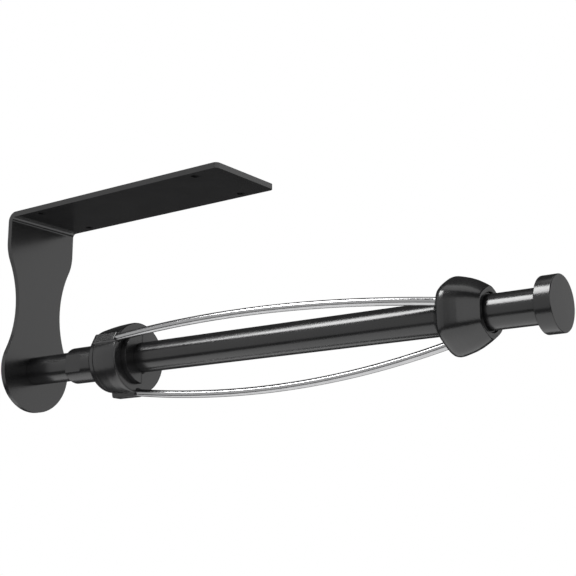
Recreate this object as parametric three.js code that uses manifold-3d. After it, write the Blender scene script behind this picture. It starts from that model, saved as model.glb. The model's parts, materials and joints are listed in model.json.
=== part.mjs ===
// Paper towel holder that screws up under a cabinet.
// A bent steel plate carries a fixed rod. A hub and a faceted nose turn on the rod, joined by
// three bowed spring wires that grip the inside of the paper roll's core.
// Millimetres, +Z up. The origin is the centre of the mounting face, and +X points along the
// rod to its free end. The "spindle" group has the rod's axis as its own X axis.
import * as THREE from 'three';
import { mergeVertices } from 'three/addons/utils/BufferGeometryUtils.js';
import Module from 'manifold-3d';

const wasm = await Module();
wasm.setup();

// ---------- driving dimensions ----------
const plateLength = 158;
const plateWidth = 48.2;
const plateThickness = 3;
const bendInnerRadius = 2.5;
const plateCornerRadius = 2.5;
const axisDrop = 90.8; // mounting face to the rod's axis
const discRadius = plateWidth / 2;
const waistHalfWidth = 15.8;
const waistRadius = 60;
const shoulderRadius = 26;
const screwHoleRadius = 2.2;
const screwHoleNearX = 22.4;
const screwHoleFarX = 139.2;
const screwHoleOffsetY = 19;

const rodRadius = 8.15;
const rodWall = 1.5;
const gap = 0.3; // between pieces that touch
const runningGap = 0.15; // between the rod and the bushes that turn on it

const screwHeadRadius = 4.8;
const screwShankRadius = 2.5;
const screwClearance = 2.8;
const screwEnd = 17.5;
const hexKeyRadius = 1.75;
const countersinkDepth = 2.5;
const baseInsertEnd = 19;

const knobRadius = 12.8;
const knobThickness = 8;
const overallLength = 329.7;
const knobStart = overallLength - knobThickness;
const knobBevel = 0.5;
const endInsertStart = 306;
const studStart = 308;
const studEnd = 327;
const studRadius = 3;
const studClearance = 3.3;

const collarStart = 36.3;
const collarChamfer = 0.4;
const collarRadius = 10.1;
const collarFlatHalfWidth = 8.8;
const collarFlatEnd = 47.8;
const collarRampLength = 1.6;

const hubStart = 62.5;
const hubFace = 84.6;
const hubCavityRadius = 14.5;
const hubWallStart = 81.3;
const tabOuterRadius = 21;
const tabWidth = 5.6;
const tabStart = 67.4;
const tabCornerRadius = 1.6;

const clipRadius = 14.2;
const clipThickness = 3.3;

const bushOuterRadius = 9.7;
const leftBushEnd = 69.5;
const rightBushStart = 73;
const rightBushEnd = 81;
const frictionDiscStart = 69.9;
const frictionDiscEnd = 71.3;
const waveSpringX = 67.5;
const waveAmplitude = 1.5;
const anchorRingStart = 72.6;
const anchorRingEnd = 79.4;

const wireRadius = 2;
const wireAngles = { wire_front: 152, wire_bottom: 270, wire_rear: 28 };
const wireHubRadius = 18.9; // wire's distance from the axis at the hub's face
const wireNoseRadius = 12.7; // and where it reaches the nose
const wireNoseX = 273;
const wireHubSlope = 0.126;
const wireNoseSlope = -0.218;
const hookX = 76;
const hookTipRadius = 11.8;
const hookBend = 2.8;
const tailRadius = 11.9;
const tailStartX = 281.2;
const tailEndX = 286.3;

const noseStart = 272.7;
const noseSplit = 277.4;
const noseEnd = 296.5;
const noseBoreRadius = 9.1;
const noseCavityRadius = 14.9;
const noseCavityEnd = 287.3;
const facetSharpness = 8; // exponent of the rounded hexagon

const turns = 32; // facets of a turned surface
const fineTurns = 48;
const wireSides = 8;
const wireSteps = 50;

// ---------- directions and helpers ----------
const radians = THREE.MathUtils.degToRad;
const xAxis = new THREE.Vector3(1, 0, 0);
const yAxis = new THREE.Vector3(0, 1, 0);
const zAxis = new THREE.Vector3(0, 0, 1);

function toSolid(geometry) {
  const bare = geometry.clone();
  bare.deleteAttribute('normal');
  bare.deleteAttribute('uv');
  const merged = mergeVertices(bare, 1e-4);
  const index = merged.index.array;
  const kept = [];
  for (let i = 0; i < index.length; i += 3) {
    const [a, b, c] = [index[i], index[i + 1], index[i + 2]];
    if (a !== b && b !== c && c !== a) kept.push(a, b, c);
  }
  return new wasm.Manifold(new wasm.Mesh({
    numProp: 3,
    vertProperties: new Float32Array(merged.attributes.position.array),
    triVerts: new Uint32Array(kept),
  }));
}

function toGeometry(solid) {
  const mesh = solid.getMesh();
  const geometry = new THREE.BufferGeometry();
  geometry.setAttribute('position', new THREE.BufferAttribute(mesh.vertProperties, 3));
  geometry.setIndex(new THREE.BufferAttribute(mesh.triVerts, 1));
  geometry.computeVertexNormals();
  return geometry;
}

function join(...geometries) {
  return toGeometry(geometries.map(toSolid).reduce((sum, one) => sum.add(one)));
}

function cut(geometry, ...tools) {
  return toGeometry(tools.map(toSolid).reduce((left, tool) => left.subtract(tool), toSolid(geometry)));
}

function common(...geometries) {
  return toGeometry(geometries.map(toSolid).reduce((both, one) => both.intersect(one)));
}

// A solid turned about the X axis from [x, radius] corners listed with growing x outside.
function turned(corners, segments = turns) {
  const profile = corners.map(([x, radius]) => new THREE.Vector2(radius, x));
  return new THREE.LatheGeometry(profile, segments).rotateZ(-Math.PI / 2).rotateX(Math.PI);
}

function ring(start, end, inner, outer, segments = turns) {
  return turned([[start, inner], [start, outer], [end, outer], [end, inner], [start, inner]], segments);
}

function block(x0, x1, y0, y1, z0, z1) {
  const box = new THREE.BoxGeometry(x1 - x0, y1 - y0, z1 - z0);
  return box.translate((x0 + x1) / 2, (y0 + y1) / 2, (z0 + z1) / 2);
}

// Extrudes a shape drawn in (y, z) along X.
function extrudeAlongX(shape, start, end) {
  const options = { depth: end - start, bevelEnabled: false, curveSegments: 12 };
  const basis = new THREE.Matrix4().makeBasis(yAxis, zAxis, xAxis);
  return new THREE.ExtrudeGeometry(shape, options).applyMatrix4(basis).translate(start, 0, 0);
}

// Turns a piece built at the top of the spindle (+Z) to an angle counted from +Y towards +Z.
function atAngle(geometry, degrees) {
  return geometry.clone().rotateX(radians(degrees - 90));
}

// ---------- bracket ----------
// Side view of the bent plate in (x, z), extruded across the plate's width.
function bentStrip() {
  const outer = bendInnerRadius + plateThickness;
  const bottom = -(axisDrop + discRadius + 1);
  const side = new THREE.Shape();
  side.moveTo(plateLength, 0);
  side.lineTo(outer, 0);
  side.absarc(outer, -outer, outer, Math.PI / 2, Math.PI, false);
  side.lineTo(0, bottom);
  side.lineTo(plateThickness, bottom);
  side.absarc(outer, -outer, bendInnerRadius, Math.PI, Math.PI / 2, true);
  side.lineTo(plateLength, -plateThickness);
  side.closePath();
  const options = { depth: plateWidth + 2, bevelEnabled: false, curveSegments: 8 };
  return new THREE.ExtrudeGeometry(side, options).rotateX(Math.PI / 2).translate(0, plateWidth / 2 + 1, 0);
}

// Front view in (y, z): straight shoulders, a waist, and the round disc under it, all tangent.
// The right half is drawn upwards from the disc's lowest point, and mirrored.
function waistOutline() {
  const waistY = waistHalfWidth + waistRadius;
  const waistZ = -axisDrop + Math.sqrt((waistRadius + discRadius) ** 2 - waistY ** 2);
  const shoulderY = plateWidth / 2 - shoulderRadius;
  const shoulderRise = Math.sqrt((waistRadius + shoulderRadius) ** 2 - (waistY - shoulderY) ** 2);
  const toDisc = Math.atan2(-axisDrop - waistZ, -waistY);
  const toShoulder = Math.atan2(shoulderRise, shoulderY - waistY);
  const right = new THREE.Path();
  right.absarc(0, -axisDrop, discRadius, -Math.PI / 2, toDisc + Math.PI, false);
  right.absarc(waistY, waistZ, waistRadius, toDisc, toShoulder, true);
  right.absarc(shoulderY, waistZ + shoulderRise, shoulderRadius, toShoulder - Math.PI, 0, false);
  right.lineTo(plateWidth / 2, 1);
  const half = right.getPoints(12);
  const mirrored = half.slice(1).reverse().map(({ x, y }) => new THREE.Vector2(-x, y));
  return extrudeAlongX(new THREE.Shape([...half, ...mirrored]), -1, plateLength + 1);
}

// Plan view in (x, y), with the two free corners rounded.
function planOutline() {
  const half = plateWidth / 2;
  const corner = plateCornerRadius;
  const plan = new THREE.Shape();
  plan.moveTo(-1, -half);
  plan.lineTo(plateLength - corner, -half);
  plan.absarc(plateLength - corner, -half + corner, corner, -Math.PI / 2, 0, false);
  plan.absarc(plateLength - corner, half - corner, corner, 0, Math.PI / 2, false);
  plan.lineTo(-1, half);
  plan.closePath();
  const depth = axisDrop + discRadius + 4;
  const options = { depth, bevelEnabled: false, curveSegments: 6 };
  return new THREE.ExtrudeGeometry(plan, options).translate(0, 0, 2 - depth);
}

function mountingHoles() {
  const holes = [];
  for (const x of [screwHoleNearX, screwHoleFarX]) {
    for (const y of [-screwHoleOffsetY, screwHoleOffsetY]) {
      const drill = new THREE.CylinderGeometry(screwHoleRadius, screwHoleRadius, 3 * plateThickness, 20);
      holes.push(drill.rotateX(Math.PI / 2).translate(x, y, -plateThickness / 2));
    }
  }
  return holes;
}

function countersunkHole() {
  const mouth = screwClearance + countersinkDepth + 0.8;
  const end = plateThickness + 1;
  const hole = turned([
    [-1, 0], [-1, mouth], [countersinkDepth, screwClearance], [end, screwClearance], [end, 0],
  ]);
  return hole.translate(0, 0, -axisDrop);
}

function bracket() {
  const plate = common(bentStrip(), waistOutline(), planOutline());
  return cut(plate, ...mountingHoles(), countersunkHole());
}

// ---------- fixed rod and what is fastened to it ----------
// Countersunk socket screw that pulls the rod against the plate.
function fixingScrew() {
  const body = turned([
    [0.1, 0], [0.1, screwHeadRadius], [countersinkDepth - 0.2, screwShankRadius],
    [screwEnd - 0.5, screwShankRadius], [screwEnd, screwShankRadius - 0.5], [screwEnd, 0],
  ]);
  const hexKey = new THREE.CylinderGeometry(hexKeyRadius, hexKeyRadius, 4, 6).rotateZ(Math.PI / 2);
  return cut(body, hexKey);
}

function rodBaseInsert() {
  return ring(plateThickness + gap, baseInsertEnd, screwClearance, rodRadius - rodWall - gap);
}

function rodTube() {
  return ring(plateThickness + gap, knobStart - gap, rodRadius - rodWall, rodRadius, fineTurns);
}

// What is milled away for one flat: it ramps out at the end nearer the hub.
function wrenchFlat() {
  const rise = collarRadius + 0.2 - collarFlatHalfWidth;
  const side = new THREE.Shape();
  side.moveTo(collarStart - 1, collarFlatHalfWidth);
  side.lineTo(collarFlatEnd, collarFlatHalfWidth);
  side.lineTo(collarFlatEnd + collarRampLength, collarFlatHalfWidth + rise);
  side.lineTo(collarStart - 1, collarFlatHalfWidth + rise);
  side.closePath();
  return new THREE.ExtrudeGeometry(side, { depth: 30, bevelEnabled: false }).translate(0, 0, -15);
}

// Shouldered collar that the hub runs against, with two flats for a wrench.
function wrenchCollar() {
  const inner = rodRadius + gap;
  const end = hubStart - gap;
  const body = turned([
    [collarStart, inner], [collarStart, collarRadius - collarChamfer],
    [collarStart + collarChamfer, collarRadius], [end - 0.5, collarRadius],
    [end, collarRadius - 0.5], [end, inner], [collarStart, inner],
  ]);
  return cut(body, wrenchFlat(), wrenchFlat().rotateX(Math.PI));
}

function frictionDisc() {
  return ring(frictionDiscStart, frictionDiscEnd, rodRadius + gap, hubCavityRadius - 0.6);
}

// Half-moon clip on the near side of the rod that keeps the hub from sliding out.
function halfClip() {
  const start = hubFace + gap;
  const body = ring(start, start + clipThickness, rodRadius + gap, clipRadius, fineTurns);
  return common(body, block(start - 1, start + clipThickness + 1, -20, 0, -20, 20));
}

function rodEndInsert() {
  return ring(endInsertStart, knobStart - gap, studClearance, rodRadius - rodWall - gap);
}

function knobStud() {
  const tip = studRadius - 0.4;
  return turned([
    [studStart, 0], [studStart, tip], [studStart + 0.4, studRadius], [studEnd - 0.4, studRadius],
    [studEnd, tip], [studEnd, 0],
  ], 24);
}

function endKnob() {
  const holeEnd = studEnd + gap;
  return turned([
    [knobStart, studClearance], [knobStart, knobRadius - knobBevel], [knobStart + knobBevel, knobRadius],
    [overallLength - knobBevel, knobRadius], [overallLength, knobRadius - knobBevel],
    [overallLength, 0], [holeEnd, 0], [holeEnd, studClearance], [knobStart, studClearance],
  ], fineTurns);
}

// ---------- spring wires ----------
// The wire's centre line in the plane through the axis: x along the rod, z away from it.
// It hooks inwards in the hub, bows outwards between hub and nose, and runs straight in the nose.
// An extra length at both tips is for the room cut around it.
function wirePath(extra) {
  const at = (x, z) => new THREE.Vector3(x, 0, z);
  const span = (wireNoseX - hubFace) / 3;
  const socketZ = (x) => wireHubRadius + (x - hubFace) * wireHubSlope;
  const hub = at(hubFace, wireHubRadius);
  const nose = at(wireNoseX, wireNoseRadius);
  const hookTop = at(hookX, socketZ(hookX));
  const socketStart = at(hookX + hookBend, socketZ(hookX + hookBend));
  const tailStart = at(tailStartX, tailRadius);
  const third = (tailStart.x - nose.x) / 3;
  const path = new THREE.CurvePath();
  path.add(new THREE.LineCurve3(at(hookX, hookTipRadius - extra), at(hookX, hookTop.z - hookBend)));
  path.add(new THREE.QuadraticBezierCurve3(at(hookX, hookTop.z - hookBend), hookTop, socketStart));
  path.add(new THREE.LineCurve3(socketStart, hub));
  path.add(new THREE.CubicBezierCurve3(
    hub, at(hub.x + span, hub.z + span * wireHubSlope),
    at(nose.x - span, nose.z - span * wireNoseSlope), nose,
  ));
  path.add(new THREE.CubicBezierCurve3(
    nose, at(nose.x + third, nose.z + third * wireNoseSlope),
    at(tailStart.x - third, tailRadius), tailStart,
  ));
  path.add(new THREE.LineCurve3(tailStart, at(tailEndX + extra, tailRadius)));
  return path;
}

function polygon(radius, sides) {
  const corner = (i) => (2 * Math.PI * i) / sides;
  return new THREE.Shape(Array.from({ length: sides }, (_, i) => (
    new THREE.Vector2(radius * Math.cos(corner(i)), radius * Math.sin(corner(i))))));
}

function wire(radius = wireRadius, extra = 0) {
  const options = { extrudePath: wirePath(extra), steps: wireSteps };
  return new THREE.ExtrudeGeometry(polygon(radius, wireSides), options);
}

// The room that the three wires need in the pieces that hold them.
const roomRadius = (wireRadius + gap) / Math.cos(Math.PI / wireSides);
const wireRoom = Object.values(wireAngles).map((angle) => atAngle(wire(roomRadius, gap), angle));

// ---------- hub ----------
function hubTab() {
  const inner = hubCavityRadius + 0.8;
  const profile = new THREE.Shape();
  profile.moveTo(tabStart, inner);
  profile.lineTo(hubFace, inner);
  profile.lineTo(hubFace, tabOuterRadius - 0.3);
  profile.lineTo(tabStart + tabCornerRadius, tabOuterRadius);
  const cornerX = tabStart + tabCornerRadius;
  const cornerZ = tabOuterRadius - tabCornerRadius;
  profile.absarc(cornerX, cornerZ, tabCornerRadius, Math.PI / 2, Math.PI, false);
  profile.closePath();
  const options = { depth: tabWidth, bevelEnabled: false, curveSegments: 4 };
  return new THREE.ExtrudeGeometry(profile, options).rotateX(Math.PI / 2).translate(0, tabWidth / 2, 0);
}

function hubShell() {
  const body = turned([
    [hubStart, hubCavityRadius], [hubStart, 16.4], [hubStart + 1.2, 17.4], [70.4, 18.4], [76.2, 19],
    [81.5, 19.3], [83.4, 19.35], [hubFace - 0.4, 19], [hubFace, 18.3], [hubFace, rodRadius + gap],
    [hubWallStart, rodRadius + gap], [hubWallStart, hubCavityRadius], [hubStart, hubCavityRadius],
  ], fineTurns);
  const tabs = Object.values(wireAngles).map((angle) => atAngle(hubTab(), angle));
  return cut(join(body, ...tabs), ...wireRoom);
}

function hubBackCap() {
  return ring(hubStart, hubStart + 2.5, bushOuterRadius + gap, hubCavityRadius - gap);
}

function hubBush(start, end) {
  return ring(start, end, rodRadius + runningGap, bushOuterRadius);
}

// Wavy ring that presses the friction disc, so that the roll doesn't run on by itself.
function waveSpring() {
  const spring = ring(waveSpringX - 0.25, waveSpringX + 0.25, 10.3, 13.6);
  const position = spring.attributes.position;
  for (let i = 0; i < position.count; i += 1) {
    const angle = Math.atan2(position.getZ(i), position.getY(i));
    position.setX(i, position.getX(i) + waveAmplitude * Math.cos(3 * angle));
  }
  return spring;
}

function wireAnchorRing() {
  return cut(ring(anchorRingStart, anchorRingEnd, 10.2, hubCavityRadius - gap), ...wireRoom);
}

// ---------- nose ----------
// Rounded hexagon: how far the surface lies at an angle, as a multiple of the flats' distance.
function facetFactor(angle) {
  const sides = [0, 60, 120].map((side) => Math.abs(Math.cos(angle - radians(side))) ** facetSharpness);
  return (sides[0] + sides[1] + sides[2]) ** (-1 / facetSharpness);
}

// Turned piece, solid to the axis, pushed out to the rounded hexagon.
function faceted(corners) {
  const piece = turned(corners, fineTurns);
  const position = piece.attributes.position;
  for (let i = 0; i < position.count; i += 1) {
    const [y, z] = [position.getY(i), position.getZ(i)];
    const factor = facetFactor(Math.atan2(z, y));
    position.setY(i, y * factor);
    position.setZ(i, z * factor);
  }
  return piece;
}

function noseBore(start, end, radius) {
  return turned([[start, 0], [start, radius], [end, radius], [end, 0]], fineTurns);
}

function noseRearCap() {
  const end = noseSplit - gap / 2;
  const cap = faceted([[noseStart, 0], [noseStart, 9.4], [274.4, 11.6], [276, 14.2], [end, 16.1], [end, 0]]);
  return cut(cap, noseBore(noseStart - 1, end + 1, noseBoreRadius), ...wireRoom);
}

function noseShell() {
  const start = noseSplit + gap / 2;
  const shell = faceted([
    [start, 0], [start, 16.4], [278.6, 17.1], [280, 17.4], [281.6, 17.25], [284.4, 16.6],
    [287.5, 15.75], [290.4, 14.65], [293, 13.35], [295, 12.2],
    [noseEnd - 0.3, 11.4], [noseEnd, 11.1], [noseEnd, 0],
  ]);
  const cavity = noseBore(start - 1, noseCavityEnd, noseCavityRadius);
  return cut(shell, cavity, noseBore(noseCavityEnd - 1, noseEnd + 1, noseBoreRadius));
}

// Holds the wires' straight ends inside the shell.
function noseCore() {
  const core = ring(noseSplit + gap, noseCavityEnd - gap, noseBoreRadius, noseCavityRadius - gap);
  return cut(core, ...wireRoom);
}

function noseBush() {
  return ring(280, noseEnd - 1, rodRadius + runningGap, noseBoreRadius - gap);
}

// ---------- assembly ----------
const blackSteel = { color: 0x1c1c1e, roughness: 0.42, metalness: 0.3 };
const blackPlastic = { color: 0x1b1b1d, roughness: 0.4, metalness: 0 };
const polishedSteel = { color: 0xc9cacc, roughness: 0.2, metalness: 1 };
const zincSteel = { color: 0x9a9c9f, roughness: 0.35, metalness: 0.9 };
const darkAcetal = { color: 0x232325, roughness: 0.5, metalness: 0 };
const feltGrey = { color: 0x4a4a4c, roughness: 0.9, metalness: 0 };

function named(name, geometry, look) {
  const mesh = new THREE.Mesh(geometry, new THREE.MeshStandardMaterial(look));
  mesh.name = name;
  return mesh;
}

const spindle = new THREE.Group();
spindle.position.z = -axisDrop;
spindle.add(
  named('fixing_screw', fixingScrew(), zincSteel),
  named('rod_base_insert', rodBaseInsert(), zincSteel),
  named('rod_tube', rodTube(), blackSteel),
  named('wrench_collar', wrenchCollar(), blackSteel),
  named('friction_disc', frictionDisc(), feltGrey),
  named('half_clip', halfClip(), blackPlastic),
  named('rod_end_insert', rodEndInsert(), zincSteel),
  named('knob_stud', knobStud(), zincSteel),
  named('end_knob', endKnob(), blackSteel),
  named('hub_shell', hubShell(), blackPlastic),
  named('hub_back_cap', hubBackCap(), blackPlastic),
  named('hub_bush_left', hubBush(hubStart + gap, leftBushEnd), darkAcetal),
  named('hub_bush_right', hubBush(rightBushStart, rightBushEnd), darkAcetal),
  named('wave_spring', waveSpring(), zincSteel),
  named('wire_anchor_ring', wireAnchorRing(), zincSteel),
  named('nose_rear_cap', noseRearCap(), blackPlastic),
  named('nose_shell', noseShell(), blackPlastic),
  named('nose_core', noseCore(), darkAcetal),
  named('nose_bush', noseBush(), darkAcetal),
);
for (const [name, angle] of Object.entries(wireAngles)) {
  spindle.add(named(name, atAngle(wire(), angle), polishedSteel));
}

const holder = new THREE.Group();
holder.position.x = -plateLength / 2;
holder.add(named('bracket', bracket(), blackSteel), spindle);

const part = new THREE.Group();
part.add(holder);

export default part;
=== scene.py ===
"""Looks of the under-cabinet paper towel holder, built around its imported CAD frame.

Shapes are worked out in millimetres in the spindle's own frame: x runs along the rod from the
bracket's outer face, and y and z are measured from the rod's axis. place() turns them into metres
in the frame's row axes.
"""
import json
import math

import bmesh
import bpy
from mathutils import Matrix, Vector


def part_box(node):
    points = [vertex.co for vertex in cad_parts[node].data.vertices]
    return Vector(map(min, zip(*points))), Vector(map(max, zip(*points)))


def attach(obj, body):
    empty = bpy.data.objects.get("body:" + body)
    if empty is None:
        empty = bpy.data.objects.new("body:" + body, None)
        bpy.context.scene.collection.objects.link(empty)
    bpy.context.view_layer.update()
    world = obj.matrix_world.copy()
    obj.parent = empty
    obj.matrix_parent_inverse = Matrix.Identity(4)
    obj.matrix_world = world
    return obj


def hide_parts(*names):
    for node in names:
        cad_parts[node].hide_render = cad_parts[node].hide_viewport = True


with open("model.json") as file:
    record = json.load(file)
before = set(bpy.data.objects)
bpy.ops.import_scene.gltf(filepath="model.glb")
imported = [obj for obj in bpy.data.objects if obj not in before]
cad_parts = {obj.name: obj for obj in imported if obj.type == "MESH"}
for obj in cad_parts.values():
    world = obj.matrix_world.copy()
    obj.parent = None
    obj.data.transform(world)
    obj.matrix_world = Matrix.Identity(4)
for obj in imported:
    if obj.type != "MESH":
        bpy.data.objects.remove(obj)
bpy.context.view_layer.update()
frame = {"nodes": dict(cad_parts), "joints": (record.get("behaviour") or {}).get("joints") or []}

# ---------- where the spindle is ----------
MM = 0.001
ON_AXIS = 1e-6  # a radius below this is a point on the axis
SPIN = next(j for j in frame["joints"] if j["name"] == "carrier_spin")
AXIS_Z = SPIN["pos_m"][2]
BRACKET_LOW, BRACKET_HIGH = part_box("bracket")
FACE_X = BRACKET_LOW.x
MOUNT_Z = (BRACKET_HIGH.z - AXIS_Z) / MM
PLATE_LENGTH = (BRACKET_HIGH.x - BRACKET_LOW.x) / MM
PLATE_HALF_WIDTH = BRACKET_HIGH.y / MM

# ---------- sizes in millimetres ----------
PLATE_THICKNESS = 3.0
BEND_INNER = 2.5
PLATE_CORNER = 2.5
WAIST_HALF_WIDTH = 15.8
WAIST_RADIUS = 60.0
SHOULDER_RADIUS = 26.0
SCREW_HOLE_RADIUS = 2.2
SCREW_HOLE_X = (22.4, 139.2)
SCREW_HOLE_Y = (-19.0, 19.0)
PLATE_EDGE = 0.4
SINK_RADIUS = 6.1
SINK_DEPTH = 2.5
SINK_HOLE_RADIUS = 2.8
SCREW_HEAD_RADIUS = 4.8
SCREW_SHANK_RADIUS = 2.5
SCREW_END = 17.5
SCREW_KEY_RADIUS = 1.75

ROD_RADIUS = 8.15
ROD_BORE = 6.65
GAP = 0.3
SEAM = 0.02  # hairline between fixed pieces that meet
BORE_PLAY = 0.05  # between the rod and a piece fixed on it
KNOB_START = 321.7
KNOB_END = 329.7
KNOB_RADIUS = 12.8
KNOB_HOLE_RADIUS = 3.3
KNOB_FACE_THICKNESS = 2.4

COLLAR_START = 36.3
COLLAR_RADIUS = 10.1
COLLAR_FLAT = 8.8
COLLAR_FLAT_END = 47.8
COLLAR_RAMP = 1.6

HUB_START = 62.5
HUB_FACE = 84.6
HUB_CAVITY = 14.5
HUB_WALL = 81.3
HUB_BORE = 8.45
DRUM_RIM_LENGTH = 1.2
DRUM_RIM_RADIUS = 17.4
DRUM_SHOULDER_X = 70.4
DRUM_SHOULDER_RADIUS = 18.4
CAP_BORE = 10.0
CAP_THICKNESS = 2.5
TAB_START = 67.4
TAB_OUTER = 21.0
TAB_WIDTH = 5.6
TAB_CORNER = 1.6
TAB_SIDE = 0.7  # width of the soft side wall
TAB_HALF_ANGLE = 0.4  # radians, more than a tab spans
HUB_SOCKET_RADIUS = 2.08
NOSE_SOCKET_RADIUS = 2.3

CLIP_RADIUS = 14.2
CLIP_THICKNESS = 3.3
CLIP_NOSING = 2.2

WIRE_RADIUS = 2.0
WIRE_ANGLES = {"wire_front": 152, "wire_bottom": 270, "wire_rear": 28}
WIRE_HUB = 18.9
WIRE_NOSE = 12.7
WIRE_NOSE_X = 273.0
WIRE_HUB_SLOPE = 0.126
WIRE_NOSE_SLOPE = -0.218
HOOK_X = 76.0
HOOK_TIP = 11.8
HOOK_BEND = 2.8
TAIL_RADIUS = 11.9
TAIL_START = 281.2
TAIL_END = 286.3

NOSE_START = 272.7
NOSE_SPLIT = 277.4
NOSE_SEAM = 0.04
NOSE_SPLIT_RADIUS = 16.3
NOSE_END = 296.5
NOSE_BORE = 9.1
NOSE_CAVITY = 14.9
NOSE_CAVITY_END = 287.3
FACET_SHARPNESS = 8

# ---------- mesh helpers ----------
def place(x, y, z):
    """A point of the spindle's frame in metres in the row frame."""
    return Vector((FACE_X + x * MM, y * MM, AXIS_Z + z * MM))


def radial(x, radius, angle):
    """The point at a distance from the rod's axis, at an angle in radians from +Y towards +Z."""
    return place(x, radius * math.cos(angle), radius * math.sin(angle))


def make_object(name, points, faces):
    mesh = bpy.data.meshes.new(name)
    mesh.from_pydata([tuple(p) for p in points], [], faces)
    mesh.validate()
    piece = bpy.data.objects.new(name, mesh)
    bpy.context.scene.collection.objects.link(piece)
    fix = bmesh.new()
    fix.from_mesh(mesh)
    bmesh.ops.recalc_face_normals(fix, faces=fix.faces)
    fix.to_mesh(mesh)
    fix.free()
    return piece


def smoothstep(value):
    value = min(1.0, max(0.0, value))
    return value * value * (3 - 2 * value)


def rounded(profile, size, steps=4):
    """Rounds each corner of a closed profile, or of an open one that starts and ends on the axis."""
    closed = profile[0] == profile[-1]
    points = [Vector(p) for p in (profile[:-1] if closed else profile)]
    count = len(points)
    out = []
    for i, corner in enumerate(points):
        if not closed and i in (0, count - 1):
            out.append(tuple(corner))
            continue
        before, after = points[i - 1] - corner, points[(i + 1) % count] - corner
        reach = min(size, 0.45 * before.length, 0.45 * after.length)
        start = corner + before.normalized() * reach
        end = corner + after.normalized() * reach
        for step in range(steps + 1):
            t = step / steps
            out.append(tuple(start * (1 - t) ** 2 + corner * 2 * t * (1 - t) + end * t * t))
    return out + [out[0]] if closed else out


def subdivided(profile, longest):
    """Adds points so that no stretch of a profile is longer than this."""
    out = [profile[0]]
    for (x0, r0), (x1, r1) in zip(profile, profile[1:]):
        pieces = max(1, math.ceil(math.hypot(x1 - x0, r1 - r0) / longest))
        for i in range(1, pieces + 1):
            t = i / pieces
            out.append((x0 + (x1 - x0) * t, r0 + (r1 - r0) * t))
    return out


def turned(name, profile, segments=128, shape=None):
    """Revolves (x, radius) points about the rod's axis; shape(x, radius, angle) may change a radius."""
    closed = profile[0] == profile[-1]
    rows = profile[:-1] if closed else profile
    points, faces, row_start = [], [], []
    for x, radius in rows:
        row_start.append(len(points))
        if radius < ON_AXIS:
            points.append(place(x, 0, 0))
            continue
        for k in range(segments):
            angle = 2 * math.pi * k / segments
            points.append(radial(x, shape(x, radius, angle) if shape else radius, angle))
    pairs = list(zip(range(len(rows)), range(1, len(rows))))
    if closed:
        pairs.append((len(rows) - 1, 0))
    for a, b in pairs:
        pole_a, pole_b = rows[a][1] < ON_AXIS, rows[b][1] < ON_AXIS
        for k in range(segments):
            n = (k + 1) % segments
            corners = [row_start[a]] if pole_a else [row_start[a] + k, row_start[a] + n]
            corners += [row_start[b]] if pole_b else [row_start[b] + n, row_start[b] + k]
            faces.append(corners)
    return make_object(name, points, faces)


def prism(name, outline, low, high, to_point):
    """A closed outline of 2-D points swept from low to high; to_point(u, v, w) gives each place."""
    count = len(outline)
    points = [to_point(u, v, low) for u, v in outline] + [to_point(u, v, high) for u, v in outline]
    faces = [list(range(count)), [count + i for i in range(count)]]
    faces += [[i, (i + 1) % count, count + (i + 1) % count, count + i] for i in range(count)]
    return make_object(name, points, faces)


def arc(cx, cy, radius, start, end, steps):
    """Points of a circular arc from start to end, in degrees."""
    angles = [math.radians(start + (end - start) * i / steps) for i in range(steps + 1)]
    return [(cx + radius * math.cos(a), cy + radius * math.sin(a)) for a in angles]


def bake_modifiers(piece):
    evaluated = piece.evaluated_get(bpy.context.evaluated_depsgraph_get())
    mesh = bpy.data.meshes.new_from_object(evaluated)
    piece.modifiers.clear()
    piece.data = mesh


def carve(piece, tool, operation):
    """Cuts piece with tool, or keeps what they share, and removes tool."""
    modifier = piece.modifiers.new("carve", "BOOLEAN")
    modifier.object = tool
    modifier.operation = operation
    modifier.solver = "EXACT"
    bake_modifiers(piece)
    bpy.data.objects.remove(tool)


def bevel(piece, width, segments=3, angle=32):
    modifier = piece.modifiers.new("bevel", "BEVEL")
    modifier.width = width * MM
    modifier.segments = segments
    modifier.limit_method = "ANGLE"
    modifier.angle_limit = math.radians(angle)
    modifier.use_clamp_overlap = True
    bake_modifiers(piece)


def finish_surface(piece):
    """Smooth shading that leaves the large flat faces flat."""
    for face in piece.data.polygons:
        face.use_smooth = True
    modifier = piece.modifiers.new("weighted normals", "WEIGHTED_NORMAL")
    modifier.weight = 80


def dress(piece, body, material, slot, *nodes):
    """Gives a piece its body, its material and the CAD nodes that it stands for."""
    piece.data.materials.clear()
    piece.data.materials.append(material)
    finish_surface(piece)
    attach(piece, body)
    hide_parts(*nodes)


# ---------- materials ----------
def new_material(name):
    material = bpy.data.materials.new(name)
    material.use_nodes = True
    nodes, links = material.node_tree.nodes, material.node_tree.links
    return material, nodes, links, nodes["Principled BSDF"]


def texture_space(nodes, links, scale=(1, 1, 1)):
    """Object coordinates, stretched by scale."""
    coordinates = nodes.new("ShaderNodeTexCoord")
    mapping = nodes.new("ShaderNodeMapping")
    mapping.inputs["Scale"].default_value = scale
    links.new(coordinates.outputs["Object"], mapping.inputs["Vector"])
    return mapping.outputs["Vector"]


def noise(nodes, links, space, scale, detail=4.0, roughness=0.55):
    node = nodes.new("ShaderNodeTexNoise")
    node.inputs["Scale"].default_value = scale
    node.inputs["Detail"].default_value = detail
    node.inputs["Roughness"].default_value = roughness
    links.new(space, node.inputs["Vector"])
    return node.outputs["Fac"]


def spread(nodes, links, value, low, high):
    """Maps a noise value from its usual range to low..high."""
    node = nodes.new("ShaderNodeMapRange")
    node.inputs["From Min"].default_value = 0.3
    node.inputs["From Max"].default_value = 0.7
    node.inputs["To Min"].default_value = low
    node.inputs["To Max"].default_value = high
    links.new(value, node.inputs["Value"])
    return node.outputs["Result"]


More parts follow.
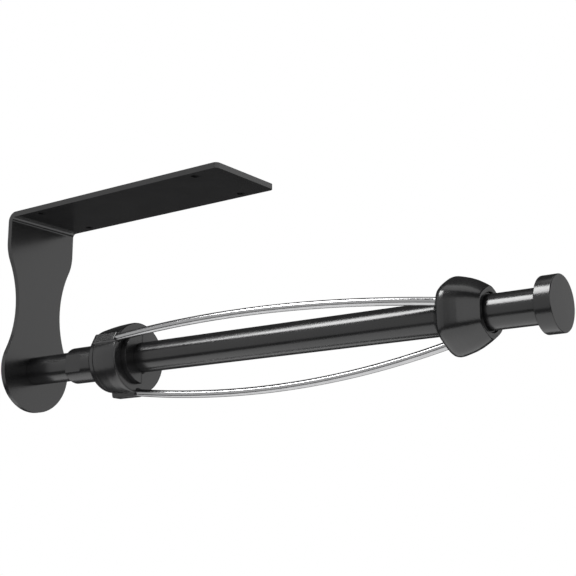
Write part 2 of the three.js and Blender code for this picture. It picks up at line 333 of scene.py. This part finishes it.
def two_tone(nodes, links, value, dark, light):
    ramp = nodes.new("ShaderNodeValToRGB")
    ramp.color_ramp.elements[0].position = 0.3
    ramp.color_ramp.elements[1].position = 0.7
    ramp.color_ramp.elements[0].color = (*dark, 1)
    ramp.color_ramp.elements[1].color = (*light, 1)
    links.new(value, ramp.inputs["Fac"])
    return ramp.outputs["Color"]


def bump(nodes, links, height, strength, distance):
    node = nodes.new("ShaderNodeBump")
    node.inputs["Strength"].default_value = strength
    node.inputs["Distance"].default_value = distance
    links.new(height, node.inputs["Height"])
    return node.outputs["Normal"]


def coated_steel():
    """Black powder coat: a fine orange peel, with a slightly uneven sheen."""
    material, nodes, links, shader = new_material("satin black powder coat")
    space = texture_space(nodes, links)
    cloud = noise(nodes, links, space, 60)
    peel = noise(nodes, links, space, 1500, 2)
    colour = two_tone(nodes, links, cloud, (0.0085, 0.0085, 0.009), (0.0115, 0.0115, 0.012))
    links.new(colour, shader.inputs["Base Color"])
    links.new(spread(nodes, links, cloud, 0.2, 0.24), shader.inputs["Roughness"])
    links.new(bump(nodes, links, peel, 0.05, 0.00002), shader.inputs["Normal"])
    shader.inputs["IOR"].default_value = 1.6
    return material


def moulded_plastic():
    """Black moulded plastic: a fine spark-eroded grain."""
    material, nodes, links, shader = new_material("satin black plastic")
    space = texture_space(nodes, links)
    cloud = noise(nodes, links, space, 90)
    grain = noise(nodes, links, space, 2600, 3)
    colour = two_tone(nodes, links, cloud, (0.0080, 0.0080, 0.0085), (0.0105, 0.0105, 0.011))
    links.new(colour, shader.inputs["Base Color"])
    links.new(spread(nodes, links, grain, 0.21, 0.26), shader.inputs["Roughness"])
    links.new(bump(nodes, links, grain, 0.05, 0.00002), shader.inputs["Normal"])
    shader.inputs["IOR"].default_value = 1.6
    return material


def spring_wire():
    """Polished stainless wire with faint drawing lines along its length."""
    material, nodes, links, shader = new_material("polished spring wire")
    lines = noise(nodes, links, texture_space(nodes, links, (12, 2400, 2400)), 1.0, 3)
    patches = noise(nodes, links, texture_space(nodes, links), 140)
    colour = two_tone(nodes, links, patches, (0.43, 0.43, 0.435), (0.49, 0.49, 0.495))
    links.new(colour, shader.inputs["Base Color"])
    links.new(spread(nodes, links, lines, 0.16, 0.24), shader.inputs["Roughness"])
    links.new(bump(nodes, links, lines, 0.03, 0.00002), shader.inputs["Normal"])
    shader.inputs["Metallic"].default_value = 1.0
    return material


def zinc_steel():
    """Zinc plate: a soft crystalline mottle over fine turning marks."""
    material, nodes, links, shader = new_material("zinc plated steel")
    mottle = noise(nodes, links, texture_space(nodes, links), 420, 5)
    marks = noise(nodes, links, texture_space(nodes, links, (3500, 60, 60)), 1.0, 2)
    colour = two_tone(nodes, links, mottle, (0.46, 0.46, 0.48), (0.6, 0.6, 0.61))
    links.new(colour, shader.inputs["Base Color"])
    links.new(spread(nodes, links, mottle, 0.26, 0.42), shader.inputs["Roughness"])
    links.new(bump(nodes, links, marks, 0.15, 0.00003), shader.inputs["Normal"])
    shader.inputs["Metallic"].default_value = 1.0
    return material


def acetal():
    """Black acetal: waxy, faintly uneven."""
    material, nodes, links, shader = new_material("black acetal")
    cloud = noise(nodes, links, texture_space(nodes, links), 200)
    colour = two_tone(nodes, links, cloud, (0.028, 0.028, 0.029), (0.036, 0.036, 0.037))
    links.new(colour, shader.inputs["Base Color"])
    links.new(spread(nodes, links, cloud, 0.38, 0.5), shader.inputs["Roughness"])
    return material


def friction_fibre():
    """Pressed fibre: matted dark strands with lighter flecks."""
    material, nodes, links, shader = new_material("pressed fibre")
    strands = noise(nodes, links, texture_space(nodes, links, (900, 900, 2200)), 1.0, 6, 0.7)
    colour = two_tone(nodes, links, strands, (0.05, 0.045, 0.04), (0.17, 0.15, 0.13))
    links.new(colour, shader.inputs["Base Color"])
    links.new(spread(nodes, links, strands, 0.75, 0.95), shader.inputs["Roughness"])
    links.new(bump(nodes, links, strands, 0.6, 0.0001), shader.inputs["Normal"])
    return material


COAT = coated_steel()
PLASTIC = moulded_plastic()
WIRE = spring_wire()
ZINC = zinc_steel()
ACETAL = acetal()
FIBRE = friction_fibre()


# ---------- bracket ----------
def waist_outline():
    """Front view (y, z): shoulders, waist and disc, all tangent, counter-clockwise."""
    waist_y = WAIST_HALF_WIDTH + WAIST_RADIUS
    waist_z = math.sqrt((WAIST_RADIUS + PLATE_HALF_WIDTH) ** 2 - waist_y ** 2)
    shoulder_y = PLATE_HALF_WIDTH - SHOULDER_RADIUS
    rise = math.sqrt((WAIST_RADIUS + SHOULDER_RADIUS) ** 2 - (waist_y - shoulder_y) ** 2)
    to_disc = math.degrees(math.atan2(waist_z, waist_y))
    to_shoulder = math.degrees(math.atan2(rise, waist_y - shoulder_y))
    right = arc(0, 0, PLATE_HALF_WIDTH, -90, to_disc, 60)
    right += arc(waist_y, waist_z, WAIST_RADIUS, 180 + to_disc, 180 - to_shoulder, 40)[1:]
    right += arc(shoulder_y, waist_z + rise, SHOULDER_RADIUS, -to_shoulder, 0, 24)[1:]
    right.append((PLATE_HALF_WIDTH, MOUNT_Z + 1))
    return right + [(-y, z) for y, z in reversed(right[1:])]


def side_outline():
    """Side view (x, z) of the bent strip."""
    outer = BEND_INNER + PLATE_THICKNESS
    top = MOUNT_Z
    bottom = -PLATE_HALF_WIDTH - 1
    outline = [(PLATE_LENGTH, top)]
    outline += arc(outer, top - outer, outer, 90, 180, 20)
    outline += [(0, bottom), (PLATE_THICKNESS, bottom)]
    outline += arc(outer, top - outer, BEND_INNER, 180, 90, 20)
    return outline + [(PLATE_LENGTH, top - PLATE_THICKNESS)]


def plan_outline():
    """Plan view (x, y) with the two free corners rounded."""
    half, corner = PLATE_HALF_WIDTH, PLATE_CORNER
    outline = [(-1, -half)]
    outline += arc(PLATE_LENGTH - corner, -half + corner, corner, -90, 0, 12)
    outline += arc(PLATE_LENGTH - corner, half - corner, corner, 0, 90, 12)
    return outline + [(-1, half)]


def drill(x, y, radius):
    return prism("drill", arc(x, y, radius, 0, 360, 48)[:-1], MOUNT_Z - 6, MOUNT_Z + 2, place)


def build_bracket():
    half = PLATE_HALF_WIDTH + 1
    plate = prism("bracket_plate", side_outline(), -half, half, lambda u, v, w: place(u, w, v))
    waist = prism("waist", waist_outline(), -1, PLATE_LENGTH + 1, lambda u, v, w: place(w, u, v))
    plan = prism("plan", plan_outline(), -PLATE_HALF_WIDTH - 2, MOUNT_Z + 2, place)
    carve(plate, waist, "INTERSECT")
    carve(plate, plan, "INTERSECT")
    for x in SCREW_HOLE_X:
        for y in SCREW_HOLE_Y:
            carve(plate, drill(x, y, SCREW_HOLE_RADIUS), "DIFFERENCE")
    sink = [
        (-1, 0), (-1, SINK_RADIUS), (SINK_DEPTH, SINK_HOLE_RADIUS),
        (PLATE_THICKNESS + 1, SINK_HOLE_RADIUS), (PLATE_THICKNESS + 1, 0),
    ]
    carve(plate, turned("sink", sink, 64), "DIFFERENCE")
    bevel(plate, PLATE_EDGE)
    dress(plate, "frame", COAT, "coated_steel", "bracket")


def build_fixing_screw():
    profile = rounded([
        (0.1, 0), (0.1, SCREW_HEAD_RADIUS), (2.3, SCREW_SHANK_RADIUS),
        (SCREW_END - 0.5, SCREW_SHANK_RADIUS), (SCREW_END, SCREW_SHANK_RADIUS - 0.5), (SCREW_END, 0),
    ], 0.2)
    screw = turned("countersunk_screw", profile, 64)
    hexagon = arc(0, 0, SCREW_KEY_RADIUS, 0, 300, 5)
    key = prism("key", hexagon, -1, 2, lambda u, v, w: place(w, u, v))
    carve(screw, key, "DIFFERENCE")
    dress(screw, "frame", ZINC, "zinc_steel", "fixing_screw")


# ---------- rod, collar, clip and knob ----------
def ring_profile(start, end, inner, outer, edge):
    corners = [(start, inner), (start, outer), (end, outer), (end, inner), (start, inner)]
    return rounded(corners, edge)


def build_rod():
    start, end = PLATE_THICKNESS + SEAM, KNOB_START - SEAM
    profile = ring_profile(start, end, ROD_BORE, ROD_RADIUS, 0.25)
    rod = turned("rod", subdivided(profile, 12), 160)
    dress(rod, "frame", COAT, "coated_steel", "rod_tube")


def build_collar():
    inner, end = ROD_RADIUS + BORE_PLAY, HUB_START - GAP
    profile = rounded([
        (COLLAR_START, inner), (COLLAR_START, COLLAR_RADIUS), (end, COLLAR_RADIUS), (end, inner),
        (COLLAR_START, inner),
    ], 0.5)
    collar = turned("wrench_collar_body", profile, 160)
    for side in (-1, 1):
        near, far = side * COLLAR_FLAT, side * (COLLAR_RADIUS + 0.2)
        ramp_end = COLLAR_FLAT_END + COLLAR_RAMP
        outline = [
            (COLLAR_START - 1, near), (COLLAR_FLAT_END, near), (ramp_end, far), (COLLAR_START - 1, far),
        ]
        carve(collar, prism("flat", outline, -15, 15, place), "DIFFERENCE")
    bevel(collar, 0.18, 2, 25)
    dress(collar, "frame", COAT, "coated_steel", "wrench_collar")


def build_clip():
    """Half-moon clip: half a ring on the -Y side of the rod, with its straight edge rounded."""
    inner, start = ROD_RADIUS + BORE_PLAY, HUB_FACE + 0.1
    end = HUB_FACE + GAP + CLIP_THICKNESS
    outline = arc(0, 0, CLIP_RADIUS, 90, 270, 72) + arc(0, 0, inner, 270, 90, 48)
    clip = prism("half_moon_clip", outline, start, end, lambda u, v, w: place(w, u, v))
    nose = arc(end - CLIP_NOSING, -CLIP_NOSING, CLIP_NOSING, 0, 90, 16)
    side = [(start - 1, -20), (end + 1, -20), (end + 1, -CLIP_NOSING)] + nose + [(start - 1, 0)]
    carve(clip, prism("rounded_side", side, -15, 15, place), "INTERSECT")
    bevel(clip, 0.25)
    dress(clip, "frame", PLASTIC, "black_plastic", "half_clip")


def build_knob():
    corners = [
        (KNOB_END, 0), (KNOB_END, KNOB_RADIUS), (KNOB_START, KNOB_RADIUS),
        (KNOB_START, KNOB_HOLE_RADIUS), (KNOB_END - KNOB_FACE_THICKNESS, KNOB_HOLE_RADIUS),
        (KNOB_END - KNOB_FACE_THICKNESS, 0),
    ]
    knob = turned("knob", rounded(corners, 0.55), 160)
    dress(knob, "frame", COAT, "coated_steel", "end_knob")


# ---------- wires ----------
def bezier(points, steps):
    """Points of a quadratic or cubic curve, without the first."""
    out = []
    for i in range(1, steps + 1):
        level, t = [Vector(p) for p in points], i / steps
        while len(level) > 1:
            level = [a * (1 - t) + b * t for a, b in zip(level, level[1:])]
        out.append(level[0])
    return out


def wire_path():
    """The wire's centre line as (x, distance from the axis)."""
    def socket(x):
        return WIRE_HUB + (x - HUB_FACE) * WIRE_HUB_SLOPE

    span = (WIRE_NOSE_X - HUB_FACE) / 3
    third = (TAIL_START - WIRE_NOSE_X) / 3
    bend_end = HOOK_X + HOOK_BEND
    path = [Vector((HOOK_X, HOOK_TIP)), Vector((HOOK_X, socket(HOOK_X) - HOOK_BEND))]
    path += bezier([path[-1], (HOOK_X, socket(HOOK_X)), (bend_end, socket(bend_end))], 10)
    path += bezier([path[-1], (HUB_FACE, WIRE_HUB)], 4)
    path += bezier([
        (HUB_FACE, WIRE_HUB), (HUB_FACE + span, WIRE_HUB + span * WIRE_HUB_SLOPE),
        (WIRE_NOSE_X - span, WIRE_NOSE - span * WIRE_NOSE_SLOPE), (WIRE_NOSE_X, WIRE_NOSE),
    ], 120)
    path += bezier([
        (WIRE_NOSE_X, WIRE_NOSE), (WIRE_NOSE_X + third, WIRE_NOSE + third * WIRE_NOSE_SLOPE),
        (TAIL_START - third, TAIL_RADIUS), (TAIL_START, TAIL_RADIUS),
    ], 10)
    return path + [Vector((TAIL_END, TAIL_RADIUS))]


def tube(name, path, radius, degrees, sides=32):
    """A round tube along a path that lies in the plane through the axis at this angle."""
    angle = math.radians(degrees)
    outward = Vector((0, math.cos(angle), math.sin(angle)))
    sideways = Vector((0, -math.sin(angle), math.cos(angle)))
    points, faces = [], []
    for i, (x, distance) in enumerate(path):
        ahead, behind = path[min(i + 1, len(path) - 1)], path[max(i - 1, 0)]
        run = (ahead - behind).normalized()
        across = Vector((-run.y, 0, 0)) + outward * run.x
        centre = Vector((x, 0, 0)) + outward * distance
        for k in range(sides):
            turn = 2 * math.pi * k / sides
            spoke = across * math.cos(turn) + sideways * math.sin(turn)
            points.append(place(*(centre + spoke * radius)))
    for i in range(len(path) - 1):
        for k in range(sides):
            n = (k + 1) % sides
            faces.append([i * sides + k, i * sides + n, (i + 1) * sides + n, (i + 1) * sides + k])
    faces.append(list(range(sides)))
    faces.append([(len(path) - 1) * sides + k for k in range(sides)])
    return make_object(name, points, faces)


def build_wires():
    for node, degrees in WIRE_ANGLES.items():
        wire = tube(node.replace("wire", "spring_wire"), wire_path(), WIRE_RADIUS - SEAM, degrees)
        dress(wire, "carrier", WIRE, "spring_steel", node)


def cut_sockets(piece, low, high, radius):
    """Cuts the room for the three wires between two places along the rod."""
    path = [p for p in wire_path() if low <= p.x <= high and p.y > HOOK_TIP - 3]
    for degrees in WIRE_ANGLES.values():
        carve(piece, tube("socket", path, radius, degrees, 24), "DIFFERENCE")


# ---------- hub ----------
def tab_height(x):
    """How far the flat top of a wire tab is from the axis, with its rounded near end."""
    into = min(TAB_CORNER, x - TAB_START)
    return TAB_OUTER - TAB_CORNER + math.sqrt(TAB_CORNER ** 2 - (TAB_CORNER - into) ** 2)


def hub_shape(x, radius, angle):
    """Raises the three wire tabs out of the turned drum, with soft side walls."""
    if radius < HUB_CAVITY + 2 or x < TAB_START:
        return radius
    out = radius
    for degrees in WIRE_ANGLES.values():
        turn = angle - math.radians(degrees)
        turn = math.atan2(math.sin(turn), math.cos(turn))
        if abs(turn) > TAB_HALF_ANGLE:
            continue
        sideways = abs(TAB_OUTER * math.sin(turn))
        share = smoothstep((TAB_WIDTH / 2 + TAB_SIDE / 2 - sideways) / TAB_SIDE)
        top = tab_height(x) - 0.4 * smoothstep((x - HUB_FACE + 0.5) / 0.5)
        flat = top / math.cos(turn)
        out = max(out, radius + (flat - radius) * share)
    return out


def build_hub():
    drum = [
        (HUB_START, HUB_CAVITY), (HUB_START, 16.6), (HUB_START + DRUM_RIM_LENGTH, DRUM_RIM_RADIUS),
        (DRUM_SHOULDER_X, DRUM_SHOULDER_RADIUS), (76.2, 19), (81.5, 19.3), (HUB_FACE, 19.35),
        (HUB_FACE, HUB_BORE), (HUB_WALL, HUB_BORE), (HUB_WALL, HUB_CAVITY), (HUB_START, HUB_CAVITY),
    ]
    profile = subdivided(rounded(drum, 0.8, 5), 0.8)
    rim_x = HUB_START + DRUM_RIM_LENGTH
    share = (TAB_START - rim_x) / (DRUM_SHOULDER_X - rim_x)
    drum_at_tab = DRUM_RIM_RADIUS + (DRUM_SHOULDER_RADIUS - DRUM_RIM_RADIUS) * share
    extra = [(TAB_START + step, drum_at_tab) for step in (-0.05, 0.02, 0.15, 0.35)]
    at = next(i for i, (x, r) in enumerate(profile) if x > TAB_START and r > 17)
    profile[at:at] = extra
    hub = turned("hub_drum", profile, 540, hub_shape)
    cut_sockets(hub, HUB_FACE - 7, HUB_FACE + 8, HUB_SOCKET_RADIUS)
    dress(hub, "carrier", PLASTIC, "black_plastic", "hub_shell")


def build_hub_cap():
    start, end = HUB_START + 0.05, HUB_START + CAP_THICKNESS
    profile = ring_profile(start, end, CAP_BORE, HUB_CAVITY - 0.12, 0.3)
    cap = turned("hub_cover", profile, 128)
    dress(cap, "carrier", PLASTIC, "black_plastic", "hub_back_cap")


# ---------- nose ----------
def facet(angle):
    """Rounded hexagon: the surface's distance as a multiple of the flats' distance."""
    sides = [abs(math.cos(angle - math.radians(a))) ** FACET_SHARPNESS for a in (0, 60, 120)]
    return sum(sides) ** (-1 / FACET_SHARPNESS)


def nose_shape(limit):
    """Facets everything farther from the axis than limit."""
    return lambda x, radius, angle: radius * facet(angle) if radius > limit else radius


def build_nose():
    cone = [
        (NOSE_START, NOSE_BORE), (NOSE_START, 9.6), (NOSE_SPLIT - NOSE_SEAM, NOSE_SPLIT_RADIUS),
        (NOSE_SPLIT - NOSE_SEAM, NOSE_BORE), (NOSE_START, NOSE_BORE),
    ]
    profile = subdivided(rounded(cone, 0.25), 0.8)
    rear = turned("nose_cone", profile, 360, nose_shape(NOSE_BORE + 0.2))
    cut_sockets(rear, NOSE_START - 12, NOSE_SPLIT + 4, NOSE_SOCKET_RADIUS)
    dress(rear, "nose", PLASTIC, "black_plastic", "nose_rear_cap")
    outside = [
        (NOSE_SPLIT + NOSE_SEAM, NOSE_CAVITY), (NOSE_SPLIT + NOSE_SEAM, NOSE_SPLIT_RADIUS),
        (278.4, 17.05), (280, 17.38),
        (281.6, 17.25), (284.4, 16.6), (287.5, 15.75), (290.4, 14.65), (293, 13.35), (295, 12.2),
        (NOSE_END, 11.25), (NOSE_END, NOSE_BORE), (NOSE_CAVITY_END, NOSE_BORE),
        (NOSE_CAVITY_END, NOSE_CAVITY), (NOSE_SPLIT + NOSE_SEAM, NOSE_CAVITY),
    ]
    profile = subdivided(rounded(outside, 0.5, 5), 0.8)
    shell = turned("nose_body", profile, 360, nose_shape(NOSE_BORE + 0.8))
    dress(shell, "nose", PLASTIC, "black_plastic", "nose_shell")


# ---------- the CAD pieces that show as they are ----------
def dress_inner_pieces():
    looks = {
        "rod_base_insert": ZINC, "rod_end_insert": ZINC, "knob_stud": ZINC,
        "wire_anchor_ring": ZINC, "wave_spring": WIRE, "friction_disc": FIBRE,
        "hub_bush_left": ACETAL, "hub_bush_right": ACETAL, "nose_core": ACETAL, "nose_bush": ACETAL,
    }
    for node, material in looks.items():
        piece = frame["nodes"][node]
        piece.data.materials.clear()
        piece.data.materials.append(material)


build_bracket()
build_fixing_screw()
build_rod()
build_collar()
build_clip()
build_knob()
build_wires()
build_hub()
build_hub_cap()
build_nose()
dress_inner_pieces()


# ---------- camera, floor and light ----------
VIEW_AZIMUTH = math.radians(36.5)
VIEW_ELEVATION = math.radians(-12.54)
VIEW_DISTANCE = 0.588
VIEW_AIM = Vector((FACE_X + 0.1852, 0, -0.06515))
LENS = 73.74
SENSOR_WIDTH = 36
FLOOR_DROP = 0.42
FLOOR_REACH = 6
BACKDROP_REACH = 12
LIGHT_AIM = Vector((FACE_X + 0.16, 0, AXIS_Z))
WORLD_LIGHT = 0.05


def direction(azimuth, elevation):
    """Unit vector towards a place seen from the object: azimuth 0 is -Y and 90 degrees is +X."""
    flat = math.cos(elevation)
    return Vector((math.sin(azimuth) * flat, -math.cos(azimuth) * flat, math.sin(elevation)))


def add_camera():
    camera = bpy.data.objects.new("camera", bpy.data.cameras.new("camera"))
    bpy.context.scene.collection.objects.link(camera)
    back = direction(VIEW_AZIMUTH, VIEW_ELEVATION)
    camera.location = VIEW_AIM + back * VIEW_DISTANCE
    camera.rotation_mode = "QUATERNION"
    camera.rotation_quaternion = (-back).to_track_quat("-Z", "Y")
    camera.data.lens = LENS
    camera.data.sensor_width = SENSOR_WIDTH
    camera.data.clip_start = 0.01
    bpy.context.scene.camera = camera


def add_floor():
    """A pale floor that only the camera sees; the soft box "bounce", below it, lights the object."""
    reach = FLOOR_REACH
    corners = [(-reach, -reach), (reach, -reach), (reach, reach), (-reach, reach)]
    floor = make_object("floor", [(x, y, -FLOOR_DROP) for x, y in corners], [[0, 1, 2, 3]])
    material, nodes, links, shader = new_material("pale floor")
    tone = noise(nodes, links, texture_space(nodes, links), 3)
    colour = two_tone(nodes, links, tone, (0.38, 0.38, 0.38), (0.41, 0.41, 0.41))
    links.new(colour, shader.inputs["Base Color"])
    shader.inputs["Roughness"].default_value = 0.9
    shader.inputs["Emission Color"].default_value = (1, 1, 1, 1)
    shader.inputs["Emission Strength"].default_value = 0.5
    floor.data.materials.append(material)
    floor.visible_glossy = False
    floor.visible_diffuse = False
    floor.visible_shadow = False


def add_backdrop():
    """A white dome that only the camera sees."""
    mesh = bpy.data.meshes.new("backdrop")
    dome = bmesh.new()
    bmesh.ops.create_uvsphere(dome, u_segments=48, v_segments=24, radius=BACKDROP_REACH)
    dome.to_mesh(mesh)
    dome.free()
    backdrop = bpy.data.objects.new("backdrop", mesh)
    bpy.context.scene.collection.objects.link(backdrop)
    material, nodes, links, shader = new_material("white backdrop")
    shader.inputs["Base Color"].default_value = (0, 0, 0, 1)
    shader.inputs["Emission Color"].default_value = (1, 1, 1, 1)
    shader.inputs["Emission Strength"].default_value = 1.0
    shader.inputs["Specular IOR Level"].default_value = 0.0
    mesh.materials.append(material)
    backdrop.visible_glossy = False
    backdrop.visible_diffuse = False
    backdrop.visible_transmission = False
    backdrop.visible_shadow = False


def add_soft_box(name, azimuth, elevation, distance, width, height, radiance, shape="RECTANGLE"):
    """An area light aimed at the middle of the object, as bright to look at as radiance."""
    light = bpy.data.objects.new(name, bpy.data.lights.new(name, "AREA"))
    bpy.context.scene.collection.objects.link(light)
    light.data.shape = shape
    light.data.size = width
    light.data.size_y = height
    area = width * height if shape == "RECTANGLE" else math.pi * width ** 2 / 4
    light.data.energy = radiance * math.pi * area
    away = direction(math.radians(azimuth), math.radians(elevation))
    light.location = LIGHT_AIM + away * distance
    light.rotation_mode = "QUATERNION"
    light.rotation_quaternion = away.to_track_quat("Z", "Y")
    light.visible_camera = False


def add_world():
    """Dim surroundings, so that edges read dark against the white backdrop."""
    world = bpy.data.worlds.new("studio")
    bpy.context.scene.world = world
    world.use_nodes = True
    background = world.node_tree.nodes["Background"]
    background.inputs["Color"].default_value = (1, 1, 1, 1)
    background.inputs["Strength"].default_value = WORLD_LIGHT


add_camera()
add_floor()
add_backdrop()
add_world()
add_soft_box("key", -40, 47, 4, 1.7, 1.75, 13)
add_soft_box("front fill", -40, 4, 4, 5.6, 3.9, 0.62)
add_soft_box("front blend", 0.6, 10, 4, 0.78, 3.2, 0.35)
add_soft_box("right front panel", 44, 10, 4, 6.2, 3.2, 1.15)
add_soft_box("right panel", 114, 10, 4, 5.0, 3.2, 1.1)
add_soft_box("right back panel", 160, 10, 4, 1.8, 3.2, 0.45)
add_soft_box("overhead", 0, 90, 4, 3.2, 3.2, 1.0, "DISK")
add_soft_box("bounce", 0, -90, 2.5, 6.6, 6.6, 1.2, "DISK")
bpy.context.scene.view_settings.view_transform = "Standard"
